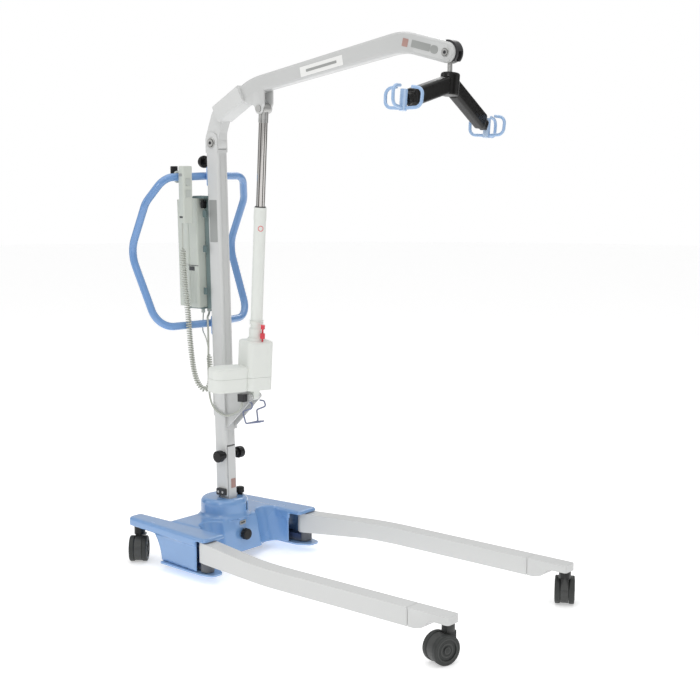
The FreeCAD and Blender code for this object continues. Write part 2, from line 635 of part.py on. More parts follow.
parts["boom_tube"] = on_boom(tube)
parts["boom_sleeve"] = on_boom(sleeve.cut(tube))

guard = cross_bar(boom_front_half + 5, boom_tip[0], boom_tip[1], -12.5, 12.5)
guard = guard.cut(cross_bar(boom_front_half - 5, boom_tip[0], boom_tip[1], -30, 30))
keep = side_plate([(boom_tip[0] - 4, boom_tip[1] + 60, 0), (boom_tip[0] + 60, boom_tip[1] + 60, 0),
                   (boom_tip[0] + 60, boom_tip[1] - 22, 0), (boom_tip[0] + 14, boom_tip[1] - 22, 0),
                   (boom_tip[0] + 14, boom_tip[1], 0), (boom_tip[0] - 4, boom_tip[1], 0)], -30, 30)
stem_gap = box(boom_tip[0] - 60, boom_tip[0] + 60, -7.5, 7.5, boom_tip[1] - 60, boom_tip[1] + 2)
parts["boom_guard"] = on_boom(guard.common(keep).cut(stem_gap))

tip_pin = fused([cross_bar(6, boom_tip[0], boom_tip[1], -boom_width / 2 - 0.5, boom_width / 2 + 0.5),
                 cross_bar(8.5, boom_tip[0], boom_tip[1], -boom_width / 2 - 3.5, -boom_width / 2 - 0.02),
                 cross_bar(8.5, boom_tip[0], boom_tip[1], boom_width / 2 + 0.02, boom_width / 2 + 3.5)])

lug_pin = fused([cross_bar(6, top_pin[0], top_pin[1], -21, 21),
                 cross_bar(9.5, top_pin[0], top_pin[1], -24, -19.62),
                 cross_bar(9.5, top_pin[0], top_pin[1], 19.62, 24)])
parts["boom_pins"] = on_boom(Part.makeCompound([tip_pin, lug_pin]))


# ---- actuator ----

rod_end = tube_bottom + 53
rod = cylinder(rod_radius, V(0, 0, rod_end), UP, actuator_length - 38 - rod_end)
parts["actuator_rod"] = on_actuator(rod)
eye = cylinder(13.5, V(0, 0, actuator_length - 37.98), UP, 30)
eye_ring = cross_bar(15.5, 0, actuator_length, -13.8, 13.8)
eye = fused([eye, eye_ring]).cut(cross_bar(6 + running_gap, 0, actuator_length, -30, 30))
parts["actuator_rod_eye"] = on_actuator(eye)

tube_shell = cylinder(tube_radius, V(0, 0, tube_bottom + 4), UP, tube_top - 36 - tube_bottom - 4)
tube_shell = tube_shell.cut(cylinder(rod_radius + 1.2, V(0, 0, tube_bottom), UP, tube_top))
cap = cylinder(tube_radius + 0.8, V(0, 0, tube_top - 36), UP, 36)
cap = soften(cap, 2, flat_at(tube_top))
cap = cap.cut(cylinder(rod_radius + running_gap, V(0, 0, 400), UP, 200))
parts["actuator_tube"] = on_actuator(fused([tube_shell, cap]))


def turned_housing(shape):
    """Housing shapes are drawn with the motor towards -Y, then turned about the rod."""
    return on_actuator(turned(shape, V(0, 0, 0), UP, -housing_turn))


def housing_block(inset, z0, z1):
    return rounded_box(-38 + inset, 38 - inset, -40 + inset, 40 - inset, z0, z1, 15 - inset)


def motor_pod(inset, z0, z1):
    return rounded_box(-33 + inset, 33 - inset, -142 + inset, -30, z0, z1, 24 - inset)


upper = soften(housing_block(0, housing_seam + 0.6, housing_top), 8, flat_at(housing_top))
upper_pod = soften(motor_pod(0, housing_seam + 0.6, pod_top), 7, flat_at(pod_top))
collar = Part.makeCone(27, tube_radius + 5.5, 9, V(0, 0, housing_top - 1), UP)
upper = fused([upper, upper_pod, collar, cylinder(tube_radius + 3.5, V(0, 0, housing_top + 7.9), UP, 26)])
inner = fused([housing_block(shell_wall, housing_seam, housing_top - 4),
               motor_pod(shell_wall, housing_seam, pod_top - shell_wall)])
upper = upper.cut(inner).cut(cylinder(tube_radius + 0.02, V(0, 0, tube_bottom + 4), UP, 60))
upper = upper.cut(cylinder(rod_radius + 1.2, V(0, 0, 100), UP, 200))
parts["actuator_upper_shell"] = turned_housing(upper)

lower = fused([housing_block(0, housing_floor, housing_seam), motor_pod(0, housing_floor, housing_seam)])
inner = fused([housing_block(shell_wall, housing_floor + shell_wall, housing_seam + 1),
               motor_pod(shell_wall, housing_floor + shell_wall, housing_seam + 1)])
tail = fused([cross_bar(11, 0, 0, -11.5, 11.5), box(-11, 11, -11.5, 11.5, 0, housing_floor + 1)])
parts["actuator_lower_shell"] = fused([turned_housing(lower.cut(inner)), on_actuator(tail)])
motor = cross_bar(24, 0, 58, -128, -44)
motor = fused([motor, cross_bar(6, 0, 58, -44, -18)])
parts["actuator_motor"] = turned_housing(motor)

pull = cylinder(2.5, V(pull_x, pull_y, housing_top + 0.4), UP, 46)
pull = fused([pull, cylinder(7, V(pull_x, pull_y, housing_top + 9), UP, 15),
              cylinder(6, V(pull_x, pull_y, housing_top + 36), UP, 12)])
parts["release_pull"] = on_actuator(pull)


# ---- hanger and spreader ----

hanger = cross_bar(14, 0, 0, -12, 12).cut(cross_bar(6 + running_gap, 0, 0, -30, 30))
hanger = fused([hanger, cylinder(6, V(0, 0, -67.8), UP, 56)])
hanger = hanger.cut(cross_bar(6 + running_gap, 0, 0, -30, 30))
parts["hanger_link"] = moved(hanger, tip_bolt)

tilt_height = -74.0
tilt_centre = tip_bolt + V(0, 0, tilt_height)


def on_spreader(shape):
    """Place a shape drawn about the tilt pin, arms along Y."""
    tilted = turned(shape, V(0, 0, 0), FORWARD, -spreader_tilt)
    return moved(turned(tilted, V(0, 0, 0), UP, spreader_turn), tilt_centre)


swivel = cylinder(10, V(0, 0, -9), UP, 23)
swivel = fused([swivel, cylinder(5, V(-21, 0, 0), FORWARD, 42)])
swivel = swivel.cut(cylinder(6 + running_gap, V(0, 0, 6.1), UP, 20))
parts["swivel_nut"] = moved(turned(swivel, V(0, 0, 0), UP, spreader_turn), tilt_centre)

hub_body = soften(cylinder(24, V(0, 0, -30), UP, 56), 5, flat_at(26))
hub_body = hub_body.cut(cylinder(15.5, V(0, 0, -14), UP, 50))
hub_body = hub_body.cut(cylinder(5 + running_gap, V(-21.1, 0, 0), FORWARD, 42.2))
parts["spreader_hub"] = on_spreader(hub_body)

slope = math.radians(arm_slope)
run = V(0, math.cos(slope), -math.sin(slope))
arm = rounded_box(-15, 15, 0, arm_reach, -21, 21, 7, "y")
arm_bore = rounded_box(-12, 12, -1, arm_reach - 4, -18, 18, 4, "y")
arm = turned(arm.cut(arm_bore), V(0, 0, 0), FORWARD, -arm_slope)
arm = arm.cut(cylinder(24.02, V(0, 0, -60), UP, 120))
arm_end = V(0, arm_reach * math.cos(slope), -arm_reach * math.sin(slope))
hook_seat = V(0, 219, -72)
end_cap = turned(rounded_box(-11, 11, arm_reach - 4, arm_reach + 22, -14, 14, 5, "y"), V(0, 0, 0),
                 FORWARD, -arm_slope)
arm = fused([arm, end_cap]).cut(cylinder(9.1, hook_seat - UP * 60, UP, 110))
arms = on_spreader(Part.makeCompound([arm, mirrored(arm)]))
parts["spreader_arms"] = arms


def hook_cluster(side):
    """Three open hooks round one stem at the arm's end."""
    seat = V(0, side * hook_seat.y, hook_seat.z)
    shapes = [cylinder(9, seat - UP * 30, UP, 50)]
    for dx, dy in ((1, 0), (-1, 0), (0, side)):
        out = V(dx, dy, 0)
        foot = seat - UP * 24
        shapes.append(pipe([(foot + out * 4, 0), (foot + out * 48 + UP * 2, 17), (foot + out * 50 + UP * 46, 17),
                            (foot + out * 20 + UP * 50, 0)], hook_bar))
    return fused(shapes)


clusters = [on_spreader(hook_cluster(side)).cut(arms) for side in (1, -1)]
parts["sling_hooks"] = Part.makeCompound(clusters)


# ---- cords ----

def cord(points, diameter):
    """Cord through the points: straight runs joined by arcs that fit them."""
    corners = []
    for index, point in enumerate(points):
        if index in (0, len(points) - 1):
            corners.append((point, 0))
            continue
        before = points[index - 1] - point
        after = points[index + 1] - point
        shorter = min(before.Length, after.Length)
        half_turn = (math.pi - before.getAngle(after)) / 2
        radius = 0.45 * shorter / math.tan(half_turn)
        corners.append((point, radius))
        print("cord of", diameter, "mm turns with radius", round(radius, 1), "mm")
    return pipe(corners, diameter / 2)


coil_width = 14.0
coil_route = [V(-62, -110, 920), V(-62, -106, 826), V(-59, -97, 740), V(-54, -95, 650), V(-48, -94, 598),
              V(-38, -94, 554), V(-25, -89, 522), V(-11, -76, 508), V(-4, -64, 532), V(-11, -58, 574),
              V(-20, -55, 615)]
parts["handset_coil"] = cord(coil_route, coil_width)
lead_top = [V(-60, -111, 989), V(-62, -110, 920)]
lead_low = [V(-20, -55, 615), V(-26, -52, 636), V(-40, -44, 654), V(-58, -34, 664), V(-76, -24, 672),
            V(-85, -14, 690), mast_point(-65, -10, 725)]
parts["handset_leads"] = Part.makeCompound([cord(lead_top, 5.0), cord(lead_low, 5.0)])
motor_route = [mast_point(-56, 6, 728), V(-78, 5, 719), V(-74, -4, 713), V(-64, -15, 712),
               V(-51, -27, 708), V(-46, -31, 686), V(-47, -29, 640), V(-49, -29, 590), V(-49, -29, 535), V(-46, -30, 484), V(-32, -30, 452),
               V(-4, -30, 436), V(26, -29, 431), V(52, -28, 442), V(74, -30, 452), V(88, -33, 466),
               V(91, -33, 483.2)]
parts["motor_cable"] = cord(motor_route, 6.0)


# ---- hand over, centred on the floor ----

everything = Part.makeCompound(list(parts.values()))
bounds = everything.optimalBoundingBox(False, False)
datum = V(-(bounds.XMin + bounds.XMax) / 2, -(bounds.YMin + bounds.YMax) / 2, -bounds.ZMin)
os.makedirs("parts", exist_ok=True)
for name, shape in parts.items():
    moved(shape, datum).exportStep("parts/" + name + ".step")
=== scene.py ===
import json
import math

import bmesh
import bpy
from mathutils import Matrix, Vector

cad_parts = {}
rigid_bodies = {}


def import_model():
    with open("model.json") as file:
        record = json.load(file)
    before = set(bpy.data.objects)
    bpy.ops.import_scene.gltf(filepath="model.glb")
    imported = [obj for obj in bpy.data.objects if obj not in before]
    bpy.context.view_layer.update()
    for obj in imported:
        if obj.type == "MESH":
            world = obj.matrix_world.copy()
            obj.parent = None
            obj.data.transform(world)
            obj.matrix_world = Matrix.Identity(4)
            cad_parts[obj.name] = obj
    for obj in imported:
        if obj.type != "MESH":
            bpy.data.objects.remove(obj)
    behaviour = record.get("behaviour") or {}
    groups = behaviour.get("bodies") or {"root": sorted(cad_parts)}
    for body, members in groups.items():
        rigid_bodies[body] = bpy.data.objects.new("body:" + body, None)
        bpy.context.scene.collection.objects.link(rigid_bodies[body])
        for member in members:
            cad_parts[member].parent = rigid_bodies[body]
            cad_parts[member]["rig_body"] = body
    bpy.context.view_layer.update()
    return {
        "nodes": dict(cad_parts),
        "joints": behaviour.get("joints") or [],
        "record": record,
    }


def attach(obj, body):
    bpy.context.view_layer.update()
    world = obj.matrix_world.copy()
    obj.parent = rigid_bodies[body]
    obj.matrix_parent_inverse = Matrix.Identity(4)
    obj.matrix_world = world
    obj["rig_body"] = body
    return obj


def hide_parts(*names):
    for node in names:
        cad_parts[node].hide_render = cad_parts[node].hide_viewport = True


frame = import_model()
nodes = frame["nodes"]
joints = {joint["name"]: joint for joint in frame["joints"]}
slots = {row["node"]: row["material_slot"] for row in frame["record"]["subparts"]}

# ---- dimensions ----

# The CAD model is drawn in millimetres about the foot of the mast. The left leg's pivot, which both frames
# hold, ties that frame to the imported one.
leg_pivot_drawn = (0.118, 0.2045)
leg_pivot = Vector(joints["leg_left_spread"]["pos_m"])
shift = Vector((leg_pivot.x - leg_pivot_drawn[0], leg_pivot.y - leg_pivot_drawn[1], 0.0))
mast_lean = math.radians(1.3)
mast_foot = -5.0
along_mast = (math.cos(mast_lean), 0, math.sin(mast_lean))
near = (0, -1, 0)
sideways = (0, 1, 0)
backward = Vector((-1, 0, 0))

# The camera, with its place in the modelling frame.
camera_yaw = math.radians(40.113)
camera_pitch = math.radians(8.4)
camera_place = (2805.8, -2777.7, 1200.0)
camera_lens = 70.5
to_camera = (0.80, -0.60, 0)

# The stage: a pale floor that glows a little, a white surround, and dark cards for the metal to reflect.
# The cards stand round the object, at angles in degrees to either side of the bearing of the camera.
floor_radius = 14
floor_level = -0.0004
floor_glow = 0.42
surround_light = 0.60
surround_seen = 1.0
card_distance = 5.5
card_height = 1.6
card_scale = (2.3, 3.6, 1)
card_bearing = 40
card_offsets = (-118, -46, 50, 122)
stage_centre = (0.0, 0.0, 0.7)
# Each light's name, place, target, power in watts and diameter in metres.
lights = (
    ("top", (0.2, -0.4, 4.2), (0.2, -0.4, 0.0), 62, 5.0),
    ("key", (1.0, -3.2, 2.6), stage_centre, 16, 1.0),
    ("left_fill", (-2.8, -2.0, 2.2), stage_centre, 8, 1.6),
    ("rear", (-1.5, 3.0, 3.0), stage_centre, 12, 1.4),
)

# Finishes: the mottling's scale, how far the gloss varies with it, the edge sharpness at which the lighter
# edge colour starts and is full (partly a painted highlight along the edges, partly worn paint), and the
# depth of the surface relief.
mottle_scale = 9.0
gloss_swing = 0.15
wear_and_highlight_start, wear_and_highlight_full = 0.535, 0.62
relief_depth = 0.0006
coat_roughness = 0.12

# Small pieces, in metres, and the steps round the turned ones.
skin = 0.0004
plate_corner = 0.0015
corner_steps = 4
washer_steps = 48
mark_steps = 40
socket_taper = 0.0004
socket_depth = 0.0006
tube_radius = 0.01702
wheel_face = 0.026

# The handset cord: its wire, and the helix that its middle line follows.
coil_wire = 0.0036
coil_radius = 0.0068
coil_pitch = 0.0068
coil_fade = 0.012
coil_route_steps = 2400
motor_cable_radius = 0.003


def at(x, y, z):
    """A point of the modelling frame, in millimetres, as a point of the row frame in metres."""
    return Vector((x, y, z)) / 1000 + shift


def mast_at(forward, across, height):
    """The same for a point given in the mast's own directions."""
    return at(mast_foot + forward * math.cos(mast_lean) - height * math.sin(mast_lean), across,
              forward * math.sin(mast_lean) + height * math.cos(mast_lean))


def added(name, data):
    """A new object in the scene that holds the given data."""
    obj = bpy.data.objects.new(name, data)
    bpy.context.scene.collection.objects.link(obj)
    return obj


def aimed(obj, place, direction):
    """Puts a camera or a light at a place, looking along a direction."""
    obj.location = place
    obj.rotation_mode = "QUATERNION"
    obj.rotation_quaternion = direction.to_track_quat("-Z", "Y")


# ---- camera and stage ----

def add_camera():
    data = bpy.data.cameras.new("camera")
    data.sensor_width = 36.0
    data.lens = camera_lens
    data.clip_end = 60.0
    camera = added("camera", data)
    level = math.cos(camera_pitch)
    look = Vector((-math.sin(camera_yaw) * level, math.cos(camera_yaw) * level, -math.sin(camera_pitch)))
    aimed(camera, at(*camera_place), look)
    bpy.context.scene.camera = camera


def add_light(name, place, target, energy, size):
    data = bpy.data.lights.new(name, "AREA")
    data.energy = energy
    data.shape = "DISK"
    data.size = size
    aimed(added(name, data), place, Vector(target) - Vector(place))


def add_floor():
    bpy.ops.mesh.primitive_circle_add(vertices=64, radius=floor_radius, fill_type="NGON",
                                      location=(0, 0, floor_level))
    floor = bpy.context.object
    floor.name = "floor"
    material = bpy.data.materials.new("floor")
    material.use_nodes = True
    shader = material.node_tree.nodes["Principled BSDF"]
    shader.inputs["Base Color"].default_value = (0.93, 0.93, 0.93, 1)
    shader.inputs["Roughness"].default_value = 0.6
    shader.inputs["Specular IOR Level"].default_value = 0.25
    shader.inputs["Emission Color"].default_value = (1, 1, 1, 1)
    shader.inputs["Emission Strength"].default_value = floor_glow
    floor.data.materials.append(material)


def add_cards():
    """Dark cards round the object, out of the camera's sight, that give the metal something to reflect."""
    black = bpy.data.materials.new("black_card")
    black.use_nodes = True
    black.node_tree.nodes["Principled BSDF"].inputs["Base Color"].default_value = (0.01, 0.01, 0.01, 1)
    for offset in card_offsets:
        turn = math.radians(card_bearing + offset)
        place = (card_distance * math.sin(turn), -card_distance * math.cos(turn), card_height)
        bpy.ops.mesh.primitive_plane_add(size=1, location=place, rotation=(math.pi / 2, 0, turn))
        card = bpy.context.object
        card.name = "card_%d" % (offset + 180)
        card.scale = card_scale
        card.visible_camera = False
        card.data.materials.append(black)


def add_surround():
    """A white world that shines less on the object than it shows to the camera."""
    world = bpy.data.worlds.new("studio")
    bpy.context.scene.world = world
    world.use_nodes = True
    background = world.node_tree.nodes["Background"]
    background.inputs["Color"].default_value = (1.0, 1.0, 1.0, 1)
    seen = world.node_tree.nodes.new("ShaderNodeLightPath")
    strength = world.node_tree.nodes.new("ShaderNodeMapRange")
    strength.inputs["To Min"].default_value = surround_light
    strength.inputs["To Max"].default_value = surround_seen
    world.node_tree.links.new(seen.outputs["Is Camera Ray"], strength.inputs["Value"])
    world.node_tree.links.new(strength.outputs["Result"], background.inputs["Strength"])


add_camera()
add_floor()
add_cards()
add_surround()
for row in lights:
    add_light(*row)
bpy.context.scene.view_settings.view_transform = "Standard"


# ---- materials ----

def linear(red, green, blue):
    """Screen colour values from 0 to 255 as the shader's linear colour."""
    def one(value):
        share = value / 255
        return share / 12.92 if share <= 0.04045 else ((share + 0.055) / 1.055) ** 2.4
    return (one(red), one(green), one(blue), 1.0)


class Finish:
    """A procedural finish: base colour with soft mottling, lighter sharp edges (painted highlight and wear),
    and a fine surface bump.
    """

    def __init__(self, name, colour, roughness, metallic=0.0, mottle=0.04, grain=900.0, bump=0.03, coat=0.0,
                 wear_and_highlight=None, stretch=(1, 1, 1), specular=0.5):
        self.material = bpy.data.materials.new(name)
        self.material.use_nodes = True
        self.tree = self.material.node_tree
        self.shader = self.tree.nodes["Principled BSDF"]
        self.shader.inputs["Metallic"].default_value = metallic
        self.shader.inputs["Coat Weight"].default_value = coat
        self.shader.inputs["Coat Roughness"].default_value = coat_roughness
        self.shader.inputs["Specular IOR Level"].default_value = specular
        self.place = self.node("ShaderNodeTexCoord").outputs["Object"]
        mapping = self.node("ShaderNodeMapping")
        mapping.inputs["Scale"].default_value = stretch
        self.link(self.place, mapping.inputs["Vector"])
        soft = self.noise(mapping.outputs["Vector"], mottle_scale, 3.0)
        fine = self.noise(mapping.outputs["Vector"], grain, 2.0)
        darker, lighter = self.scaled(colour, 1 - mottle), self.scaled(colour, 1 + mottle)
        shade = self.ramp(soft, [(0.3, darker), (0.7, lighter)])
        # Sharp edges take the lighter colour: partly a painted highlight along the edges, partly worn paint.
        if wear_and_highlight is not None:
            edge = self.ramp(self.node("ShaderNodeNewGeometry").outputs["Pointiness"],
                             [(wear_and_highlight_start, self.grey(0)), (wear_and_highlight_full, self.grey(1))])
            shade = self.mix(edge, shade, wear_and_highlight)
        self.link(shade, self.shader.inputs["Base Color"])
        smoother, rougher = self.grey(roughness * (1 - gloss_swing)), self.grey(roughness * (1 + gloss_swing))
        gloss = self.ramp(soft, [(0.25, smoother), (0.75, rougher)])
        self.link(gloss, self.shader.inputs["Roughness"])
        relief = self.node("ShaderNodeBump")
        relief.inputs["Strength"].default_value = bump
        relief.inputs["Distance"].default_value = relief_depth
        self.link(fine, relief.inputs["Height"])
        self.link(relief.outputs["Normal"], self.shader.inputs["Normal"])

    def node(self, kind):
        return self.tree.nodes.new(kind)

    def link(self, source, target):
        self.tree.links.new(source, target)

    def noise(self, vector, scale, detail):
        texture = self.node("ShaderNodeTexNoise")
        texture.inputs["Scale"].default_value = scale
        texture.inputs["Detail"].default_value = detail
        self.link(vector, texture.inputs["Vector"])
        return texture.outputs["Fac"]

    def ramp(self, value, stops):
        ramp = self.node("ShaderNodeValToRGB")
        for element, (position, colour) in zip(ramp.color_ramp.elements, stops):
            element.position = position
            element.color = colour
        self.link(value, ramp.inputs["Fac"])
        return ramp.outputs["Color"]

    def mix(self, share, first, second):
        mix = self.node("ShaderNodeMix")
        mix.data_type = "RGBA"
        self.link(share, mix.inputs["Factor"])
        self.link(first, mix.inputs["A"])
        mix.inputs["B"].default_value = second
        return mix.outputs["Result"]

    @staticmethod
    def scaled(colour, share):
        return tuple(min(1.0, part * share) for part in colour[:3]) + (1.0,)

    @staticmethod
    def grey(value):
        return (value, value, value, 1.0)


# The lighter colours given for the sharp edges are partly painted highlight, partly wear.
finish_rows = {
    "cover_blue": dict(colour=linear(120, 162, 213), roughness=0.26, coat=0.8, bump=0.04, grain=420,
                       wear_and_highlight=linear(150, 184, 228)),
    "handle_blue": dict(colour=linear(112, 154, 207), roughness=0.28, coat=0.7, bump=0.10, grain=700,
                        wear_and_highlight=linear(150, 184, 228)),
    "coat_grey": dict(colour=linear(200, 201, 200), roughness=0.32, coat=0.15, bump=0.12, grain=650,
                      mottle=0.015, wear_and_highlight=linear(214, 215, 214)),
    # steel_dark paints the chassis a dark blue-grey: painted shade, the base's blue as it looks in the shadow
    # under the cover.
    "steel_dark": dict(colour=linear(50, 66, 100), roughness=0.5, bump=0.10, wear_and_highlight=linear(95, 98, 104)),
    "plated": dict(colour=linear(190, 190, 188), roughness=0.32, metallic=1.0, bump=0.06, mottle=0.08,
                   stretch=(1, 1, 6)),
    "chrome": dict(colour=linear(214, 211, 208), roughness=0.05, metallic=1.0, bump=0.004, mottle=0.03,
                   stretch=(3, 3, 1)),
    "case_white": dict(colour=linear(229, 232, 227), roughness=0.42, bump=0.08, grain=1400, mottle=0.012),
    "box_grey": dict(colour=linear(203, 208, 200), roughness=0.45, bump=0.12, grain=1600, mottle=0.015),
    "bracket_teal": dict(colour=linear(88, 108, 108), roughness=0.42, bump=0.10, wear_and_highlight=linear(128, 145, 145)),
    "black_plastic": dict(colour=linear(13, 13, 14), roughness=0.36, specular=0.35, bump=0.14, grain=1100,
                          wear_and_highlight=linear(52, 52, 54)),
    "charcoal": dict(colour=linear(17, 16, 15), roughness=0.30, specular=0.36, bump=0.22, grain=1300,
                     wear_and_highlight=linear(80, 78, 74)),
    "hook_blue": dict(colour=linear(160, 190, 226), roughness=0.28, coat=0.4, bump=0.04,
                      wear_and_highlight=linear(190, 212, 238)),
    "wheel_grey": dict(colour=linear(54, 56, 55), roughness=0.48, specular=0.35, bump=0.16, grain=800,
                       wear_and_highlight=linear(104, 106, 104)),
    "cord_grey": dict(colour=linear(186, 189, 180), roughness=0.5, bump=0.08, grain=1500),
    "key_grey": dict(colour=linear(186, 191, 186), roughness=0.6, bump=0.12, grain=1800),
    "release_red": dict(colour=linear(205, 26, 48), roughness=0.34, coat=0.2, bump=0.05,
                        wear_and_highlight=linear(226, 70, 84)),
    "wire_grey": dict(colour=linear(120, 128, 158), roughness=0.34, bump=0.06, wear_and_highlight=linear(160, 168, 192)),
    "label_white": dict(colour=linear(238, 238, 236), roughness=0.4, bump=0.03, mottle=0.02, grain=300),
    "wheel_dark": dict(colour=linear(30, 31, 31), roughness=0.42, specular=0.35, bump=0.12, grain=900,
                       wear_and_highlight=linear(70, 71, 70)),
    "label": dict(colour=linear(158, 160, 158), roughness=0.5, bump=0.04, mottle=0.10, grain=300),
    "label_dark": dict(colour=linear(70, 72, 74), roughness=0.5, bump=0.04, mottle=0.08, grain=300),
    "label_red": dict(colour=linear(176, 140, 132), roughness=0.5, bump=0.04, mottle=0.12, grain=300),
}
finishes = {name: Finish(name, **row) for name, row in finish_rows.items()}


def dress(obj, slot):
    obj.data.materials.clear()
    obj.data.materials.append(finishes[slot].material)


for name, obj in nodes.items():
    dress(obj, "wheel_dark" if name.startswith("caster_body") else slots[name])


# ---- making meshes ----

def shade_smooth(data, sharp=None):
    """Smooth shading. Edges that turn by more than sharp, in degrees, stay sharp."""
    for face in data.polygons:
        face.use_smooth = True
    if sharp is not None:
        data.set_sharp_from_angle(angle=math.radians(sharp))


def turns(steps):
    """The angles of evenly spaced points round a full turn."""
    return [2 * math.pi * k / steps for k in range(steps)]


def ring(mesh, radius, height, steps):
    """A ring of vertices about the z axis."""
    points = [(radius * math.cos(turn), radius * math.sin(turn), height) for turn in turns(steps)]
    return [mesh.verts.new(point) for point in points]


def bridge(mesh, before, after):
    """The faces between two rings with the same number of vertices."""
    for k in range(len(before)):
        follow = (k + 1) % len(before)
        mesh.faces.new((before[k], before[follow], after[follow], after[k]))


def cap(mesh, first, last):
    """The two end faces of a run of rings."""
    mesh.faces.new(last)
    mesh.faces.new(list(reversed(first)))


def made(name, mesh):
    """The finished mesh as an object in the scene."""
    bmesh.ops.recalc_face_normals(mesh, faces=mesh.faces)
    data = bpy.data.meshes.new(name)
    mesh.to_mesh(data)
    mesh.free()
    return added(name, data)


def finished_piece(name, mesh, body, finish, place):
    """The mesh as a piece that rides on a body."""
    obj = made(name, mesh)
    obj.matrix_world = place
    dress(obj, finish)
    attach(obj, body)
    return obj


def turned_to(origin, x_axis, z_axis):
    """A placement whose x and z axes point along the given directions."""
    z_axis = Vector(z_axis).normalized()
    x_axis = Vector(x_axis)
    x_axis = (x_axis - z_axis * x_axis.dot(z_axis)).normalized()
    rows = Matrix((x_axis, z_axis.cross(x_axis), z_axis)).transposed().to_4x4()
    rows.translation = origin
    return rows


def facing(origin, outward):
    """A placement whose z axis points outward, for a round piece."""
    level = abs(Vector(outward).normalized().z) < 0.9
    return turned_to(origin, (0, 0, 1) if level else (1, 0, 0), outward)


# ---- softened mouldings ----

def softened(node, voxel, rounds, kept):
    """A copy of a CAD node with every edge rounded as a moulding's are. It stands for the node."""
    obj = added(node + "_moulded", nodes[node].data.copy())
    remesh = obj.modifiers.new("remesh", "REMESH")
    remesh.mode = "VOXEL"
    remesh.voxel_size = voxel
    smooth = obj.modifiers.new("smooth", "SMOOTH")
    smooth.factor = 0.5
    smooth.iterations = rounds
    fewer = obj.modifiers.new("fewer", "DECIMATE")
    fewer.ratio = kept
    graph = bpy.context.evaluated_depsgraph_get()
    final = bpy.data.meshes.new_from_object(obj.evaluated_get(graph))
    obj.modifiers.clear()
    obj.data = final
    shade_smooth(final)
    dress(obj, slots[node])
    body = nodes[node]["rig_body"]
    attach(obj, body)
    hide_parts(node)
    return obj


cover = softened("base_cover", 0.0028, 7, 0.35)
softened("spreader_arms", 0.0022, 4, 0.5)
softened("spreader_hub", 0.0022, 4, 0.5)


# ---- small fitted pieces ----

def plate(name, body, origin, along, outward, width, height, thickness, finish, corner=plate_corner):
    """A thin plate with rounded corners lying on a face."""
    mesh = bmesh.new()
    rim = []
    for x_sign, y_sign, start in ((1, 1, 0), (-1, 1, 90), (-1, -1, 180), (1, -1, 270)):
        for step in range(corner_steps + 1):
            turn = math.radians(start + 90 * step / corner_steps)
            rim.append((x_sign * (width / 2 - corner) + corner * math.cos(turn),
                        y_sign * (height / 2 - corner) + corner * math.sin(turn)))
    lower, upper = [[mesh.verts.new((x, y, level)) for x, y in rim] for level in (0, thickness)]
    cap(mesh, lower, upper)
    bridge(mesh, lower, upper)
    return finished_piece(name, mesh, body, finish, turned_to(origin, along, outward))


def plate_on(name, shown, start, width, height, finish, lift=0.0):
    """A plate on the first face met going back from a point, towards -X, over the given shapes."""
    hits = []
    for obj in shown:
        found, spot, face, _ = obj.ray_cast(start, backward)
        if found:
            hits.append((spot.x, spot, face, obj["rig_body"]))
    _, spot, face, body = max(hits, key=lambda hit: hit[0])
    plate(name, body, spot + face * (skin / 2 + lift), sideways, face, width, height, skin, finish)


def lathe(name, body, origin, outward, profile, finish, steps):
    """A turned piece: profile is (radius, height) pairs."""
    mesh = bmesh.new()
    rings = [ring(mesh, radius, height, steps) for radius, height in profile]
    for before, after in zip(rings, rings[1:]):
        bridge(mesh, before, after)
    cap(mesh, rings[0], rings[-1])
    obj = finished_piece(name, mesh, body, finish, facing(origin, outward))
    shade_smooth(obj.data, 40)


def washer(name, body, origin, outward, inner, outer, thickness, finish):
    """A flat ring standing on a face."""
    edge = thickness * 0.4
    profile = [(inner, 0), (inner, thickness - edge), (inner + edge, thickness), (outer - edge, thickness),
               (outer, thickness - edge), (outer, 0)]
    mesh = bmesh.new()
    rings = [ring(mesh, radius, height, washer_steps) for radius, height in profile]
    for before, after in zip(rings, rings[1:] + rings[:1]):
        bridge(mesh, before, after)
    finished_piece(name, mesh, body, finish, facing(origin, outward))


def rolled_ring(name, body, centre, axis, face, tube, inner, outer, finish):
    """A thin ring laid round the face of a tube, as a stuck-on mark lies."""
    axis, face = Vector(axis).normalized(), Vector(face)
    face = (face - axis * face.dot(axis)).normalized()
    side = axis.cross(face)
    mesh = bmesh.new()
    rings = []
    for reach, lift in ((inner, 0.0), (inner, skin), (outer, skin), (outer, 0.0)):
        points = []
        for turn in turns(mark_steps):
            angle = reach * math.cos(turn) / tube
            out = face * math.cos(angle) + side * math.sin(angle)
            points.append(mesh.verts.new(centre + out * (tube + lift) + axis * reach * math.sin(turn)))
        rings.append(points)
    for before, after in zip(rings, rings[1:] + rings[:1]):
        bridge(mesh, before, after)
    finished_piece(name, mesh, body, finish, Matrix.Identity(4))


def block(name, body, low, high, finish, edge=1.2):
    """A rounded block between two corners in millimetres."""
    mesh = bmesh.new()
    bmesh.ops.create_cube(mesh, size=1)
    size = [(b - a) / 1000 for a, b in zip(low, high)]
    bmesh.ops.scale(mesh, vec=size, verts=mesh.verts)
    bmesh.ops.bevel(mesh, geom=mesh.edges[:], offset=edge / 1000, segments=3, profile=0.6, affect="EDGES")
    middle = at(*[(a + b) / 2 for a, b in zip(low, high)])
    obj = finished_piece(name, mesh, body, finish, Matrix.Translation(middle))
    shade_smooth(obj.data, 35)


